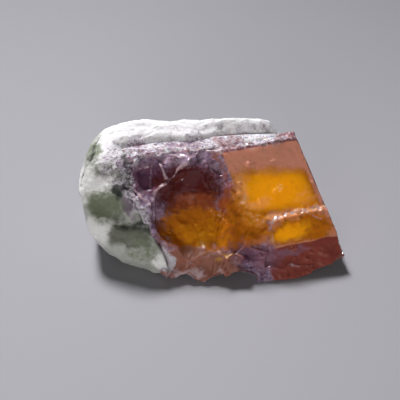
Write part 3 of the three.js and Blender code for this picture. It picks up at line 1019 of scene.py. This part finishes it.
# %% Scapolite, broken and grown faces
SCAPOLITE_IOR = 1.55
FOOT_ROUGHNESS, MARBLE_ROUGHNESS = 0.45, 0.6


def glassy_scapolite():
    # Gives the eye deep colour under a wet-looking surface, with sharp glints on the ribs.
    made, tree, shader = new_material("glassy_scapolite")
    place = add(tree, "TexCoord").outputs["Object"]
    cloud = grain_of(tree, place, 2.2, 4, 0.6)
    grit = grain_of(tree, place, 0.8, 4, 0.65)
    fleck = grain_of(tree, place, 0.4, 2, 0.6)
    shade = coated(tree, grit, plum_grains(tree, place), CRYSTAL_COATS)
    shade = with_fractures(tree, place, shade)
    shade = with_painted_glints(tree, grit, fleck, shade)
    pale_marble = {"Factor": cloud, "A": colour("#b8b2b8"), "B": colour("#d8d2d8")}
    pale_marble = add(tree, "Mix", pale_marble, data_type="RGBA").outputs["Result"]
    pale_marble = coated(tree, grit, pale_marble, [LIT_TOP_COAT, KNOB_COAT])
    shade, glassy = mixed_grains(tree, place, shade, pale_marble)
    clear = ragged(tree, "painted_backlight", grit, 0.3, 0.25, 1.0)
    clear = add(tree, "MapRange", {"Value": clear, "To Min": 0.1, "To Max": 0.5}).outputs["Result"]
    clear = add(tree, "Math", {0: clear, 1: glassy}, operation="MULTIPLY").outputs["Value"]
    rough = add(tree, "MapRange", {"Value": cloud, "To Min": 0.06, "To Max": 0.24}).outputs["Result"]
    dull = ragged(tree, "flesh", grit, 0.2, 0.1, 0.7)
    rough = add(tree, "Mix", {"Factor": dull, "A": rough, "B": FOOT_ROUGHNESS}).outputs["Result"]
    rough = add(tree, "Mix", {"Factor": glassy, "A": MARBLE_ROUGHNESS, "B": rough}).outputs["Result"]
    chips = add(tree, "Bump", {"Height": fleck, "Strength": 0.25, "Distance": 0.06 * MM}).outputs["Normal"]
    connect(tree, shader, {
        "Base Color": shade,
        "Roughness": rough,
        "Transmission Weight": clear,
        "Normal": chips,
        "IOR": SCAPOLITE_IOR,
        "Specular IOR Level": 0.4,
        "Subsurface Weight": 0.3,
        "Subsurface Radius": (1.0, 0.5, 0.3),  # red light travels furthest in it
        "Subsurface Scale": 1.5 * MM,
    })
    return made


crystal.data.materials.append(glassy_scapolite())
print("the crystal's finish has", len(crystal.data.materials[0].node_tree.nodes), "nodes")

# %% [markdown]
# ## Marble with diopside
# The rock is calcite marble, white and sugary, with grains of green diopside. Calcite grains are about
# 0.5 mm. They scatter light, so the rock is matt, and light soaks a little way into it and softens its
# shadows. The green is laid on by zones and not as single grains, because the grains lie so close
# together that the eye sees one colour.

# %% Sugary marble
MARBLE_IOR = 1.5
MARBLE_COATS = [
    # zone, colour, how ragged its edge is, where it starts and where it is full
    ("pale", "#fbfbf8", 0.3, 0.1, 0.8),
    # the calcite's white, whiter on top as painted light
    LIT_TOP_COAT,
    KNOB_COAT,
    # painted shade
    ("painted_shade", "#7e8074", 0.8, 0.1, 0.9),
    ("green", "#868e78", 0.8, 0.2, 1.0),
    # painted shade in the crevices
    ("dark", "#494d48", 0.6, 0.2, 0.9),
]


def sugary_marble():
    # Gives the eye a soft, chalky white that glows a little at thin edges, over a fine grain.
    made, tree, shader = new_material("sugary_marble")
    place = add(tree, "TexCoord").outputs["Object"]
    cloud = grain_of(tree, place, 3.4, 4, 0.55)
    grit = grain_of(tree, place, 1.3, 5, 0.7)
    grain = grain_of(tree, place, 0.5, 4, 0.65)
    shade = {"Factor": cloud, "A": colour("#a6a8a2"), "B": colour("#c8c9c3")}
    shade = add(tree, "Mix", shade, data_type="RGBA").outputs["Result"]
    shade = coated(tree, grit, shade, MARBLE_COATS)
    shade, _ = mixed_grains(tree, place, plum_grains(tree, place), shade)
    sugar = add(tree, "Bump", {"Height": grain, "Strength": 0.6, "Distance": 0.1 * MM}).outputs["Normal"]
    connect(tree, shader, {
        "Base Color": shade,
        "Normal": sugar,
        "Roughness": MARBLE_ROUGHNESS,
        "IOR": MARBLE_IOR,
        "Subsurface Weight": 0.6,
        "Subsurface Radius": (1.0, 1.0, 1.0),
        "Subsurface Scale": 2 * MM,
    })
    return made


rock.data.materials.append(sugary_marble())
print("the rock's finish has", len(rock.data.materials[0].node_tree.nodes), "nodes")

# %% [markdown]
# ## Inside the crystal
# The honey windows are not paint: the colour sits a millimetre or two below the surface, and light that
# entered at the back leaves through it. Four uneven bodies of honey-coloured crystal stand for it. Clear
# bodies lit from behind would be truer, but they would need many bounces of light, and these glow faintly
# instead. The glow fades from the middle of each body to its rim, because a zone of colour in a crystal
# has no surface of its own.

# %% Where the honey bodies lie
HONEY_BODIES = [
    # middle, radii along the front face's own directions, lean, how brightly it glows, seed
    (on_front(13.2, 8.9, -2.7), (8.6, 4.7, 1.5), WINDOW_LEAN, 0.9, 61),
    (on_front(15.0, 17.2, -2.0), (7.2, 2.3, 1.2), 0.0, 0.9, 62),
    (np.array([-1.8, -4.6, 3.6]), (6.8, 4.2, 1.4), 0.0, 0.5, 63),
    (on_front(7.6, 12.8, -2.9), (3.4, 5.4, 1.2), 0.0, 0.5, 64),
]
SKIN_DEPTH = 0.7  # nothing inside comes nearer to the surface than this, mm
crystal_tree = BVHTree.FromPolygons(body, [face.vertices for face in crystal.data.polygons])


def is_inside(point):
    nearest, normal, _, distance = crystal_tree.find_nearest(point)
    return distance > SKIN_DEPTH and (nearest - point).dot(normal) > 0


for middle, *_ in HONEY_BODIES:
    print("a honey body at", np.array(middle).round(1), "inside:", is_inside(Vector(middle)))

# %% [markdown]
# Each body starts as a ball of small triangles. Its points are made boxy, uneven and flat, and a point
# that would come too near the crystal's surface is drawn back towards the middle, step by step.

# %% Honey bodies
BOXINESS = 0.7  # 1 keeps the ball round, and less makes it squarer
UNEVENNESS = 0.22
STEPS_BACK, STEP_BACK = 20, 0.93


def uneven_ball(mesh, middle, radii, lean, brightness, seed):
    glow = mesh.verts.layers.float.get("glow") or mesh.verts.layers.float.new("glow")
    ball = bmesh.ops.create_icosphere(mesh, subdivisions=5, radius=1.0)["verts"]
    for vertex in ball:
        bumpy = 1 + UNEVENNESS * noise.fractal(vertex.co * 1.4 + Vector((seed, 0, 0)), 1.0, 2.0, 3)
        boxy = np.sign(vertex.co) * np.abs(vertex.co) ** BOXINESS
        local = boxy * bumpy * np.array(radii)
        local[1] += lean * local[0]
        reach = Vector(local @ FRONT_AXES)
        vertex[glow] = brightness * max(0, 1 - (np.abs(boxy[:2]) ** 3).sum())
        for _ in range(STEPS_BACK):
            if is_inside(Vector(middle) + reach):
                break
            reach *= STEP_BACK
        vertex.co = (Vector(middle) + reach) * MM


balls = bmesh.new()
for middle, radii, lean, brightness, seed in HONEY_BODIES:
    uneven_ball(balls, middle, radii, lean, brightness, seed)
for face in balls.faces:
    face.smooth = True
ball_mesh = bpy.data.meshes.new("honey_bodies")
balls.to_mesh(ball_mesh)
balls.free()
honey_bodies = bpy.data.objects.new("honey_bodies", ball_mesh)
bpy.context.collection.objects.link(honey_bodies)
print("honey bodies have", len(ball_mesh.polygons), "faces")

# %% The glow of the honey bodies
GLOW_STRENGTH = 0.52


def honey_inside():
    # Gives the eye windows that look lit from behind, brightest in their middle.
    made, tree, shader = new_material("honey_inside")
    place = add(tree, "TexCoord").outputs["Object"]
    wisp = grain_of(tree, place, 1.6, 5, 0.65)
    lit = ragged(tree, "glow", wisp, 0.3, 0.0, 0.9)
    shade = {"Factor": lit, "A": colour("#b87038"), "B": colour("#ffd030")}
    glow = {"Factor": lit, "A": colour("#b06a28"), "B": colour("#ffdc00")}
    connect(tree, shader, {
        "Base Color": add(tree, "Mix", shade, data_type="RGBA").outputs["Result"],
        "Emission Color": add(tree, "Mix", glow, data_type="RGBA").outputs["Result"],
        "Emission Strength": GLOW_STRENGTH,
        "Roughness": 0.5,
    })
    return made


honey_bodies.data.materials.append(honey_inside())
print("the glow has", len(honey_bodies.data.materials[0].node_tree.nodes), "nodes")

# %% [markdown]
# ## Hand the pieces to the frame
# Nothing moves on a stone, so all three pieces ride on the CAD model's one body. Each skin stands for the
# solid that it was made from. The honey bodies are sealed in the crystal and stand for nothing in CAD.

# %% Ride and replace
for piece, slot, node in (
    (crystal, "scapolite", "scapolite_crystal"),
    (rock, "marble", "host_rock"),
    (honey_bodies, "scapolite", None),
):
    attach(piece, "root")
    if node:
        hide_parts(node)
    print(piece.name, "rides on root and takes its finish from", slot)

# %% [markdown]
# ## Camera, table and light
# The camera looks down at 38 degrees from 300 mm away, with a long lens, as for a close portrait of a
# small thing. From nearer, the near end would look too large. The lens follows from the distance and from
# how wide a strip the frame takes in.

# %% Camera
VIEW_TILT = radians(38)
VIEW_DISTANCE = 300 * MM
VIEW_WIDTH = 74.6 * MM  # how much of the specimen's plane the frame takes in
SENSOR = 36.0
AIM = Vector((-2.44, -1.20, 10.0)) * MM
camera = bpy.data.objects.new("camera", bpy.data.cameras.new("camera"))
bpy.context.collection.objects.link(camera)
camera.location = AIM + VIEW_DISTANCE * Vector((0, -cos(VIEW_TILT), sin(VIEW_TILT)))
camera.rotation_euler = (pi / 2 - VIEW_TILT, 0, 0)
camera.data.sensor_width = SENSOR
camera.data.lens = SENSOR * VIEW_DISTANCE / VIEW_WIDTH
camera.data.clip_start = 10 * MM
bpy.context.scene.camera = camera
print("the lens is", round(camera.data.lens), "mm long")

# %% [markdown]
# The specimen lies on grey card. The card is far larger than what this camera sees, so that none of its
# edges shows, and it is matt, so that it takes a soft shadow and hardly a reflection.

# %% Table
FLOOR_SIZE = 4.0
bpy.ops.mesh.primitive_plane_add(size=FLOOR_SIZE)
floor = bpy.context.object
floor.name = "table"


def matt_card():
    # Gives the eye an even grey that lets the stone be the brightest and the most colourful thing.
    made, tree, shader = new_material("matt_card")
    connect(tree, shader, {"Base Color": colour("#a0a0a6"), "Roughness": 0.7})
    return made


floor.data.materials.append(matt_card())
print("the table is", FLOOR_SIZE, "m wide")

# %% [markdown]
# Two soft lights are enough. The key is high behind on the left: it whitens the rock's top, sparks on the
# edges and throws the shadow forward. The fill is a large one in front, low, and it shows the colours of
# the front. It is hidden from reflections, because it would lie as a grey sheet in every glassy hollow.
# The room adds a little even light, so that no shadow is black.

# %% Light
KEY_SPREAD = radians(30)
ROOM_STRENGTH = 0.06


def softbox(name, place, aim, size, power, tone):
    lamp = bpy.data.lights.new(name, "AREA")
    lamp.shape = "DISK"
    lamp.size = size * MM
    lamp.energy = power
    lamp.color = colour(tone)[:3]
    holder = bpy.data.objects.new(name, lamp)
    bpy.context.collection.objects.link(holder)
    holder.location = Vector(place) * MM
    holder.rotation_euler = (Vector(aim) - Vector(place)).to_track_quat("-Z", "Y").to_euler()
    return holder


key = softbox("key", (-275, 620, 735), (-10, -40, 0), size=220, power=0.42, tone="#fffdff")
key.data.spread = KEY_SPREAD
fill = softbox("fill", (-200, -980, 220), (0, 0, 0), size=500, power=4.6, tone="#fffcf8")
fill.visible_glossy = False
world = bpy.data.worlds.new("room")
bpy.context.scene.world = world
world.use_nodes = True
room = world.node_tree.nodes["Background"]
connect(world.node_tree, room, {"Color": colour("#eef0f4"), "Strength": ROOM_STRENGTH})
bpy.context.scene.view_settings.view_transform = "Standard"
for lamp in (key, fill):
    print("the", lamp.name, "light is", round(lamp.location.length / MM), "mm away")
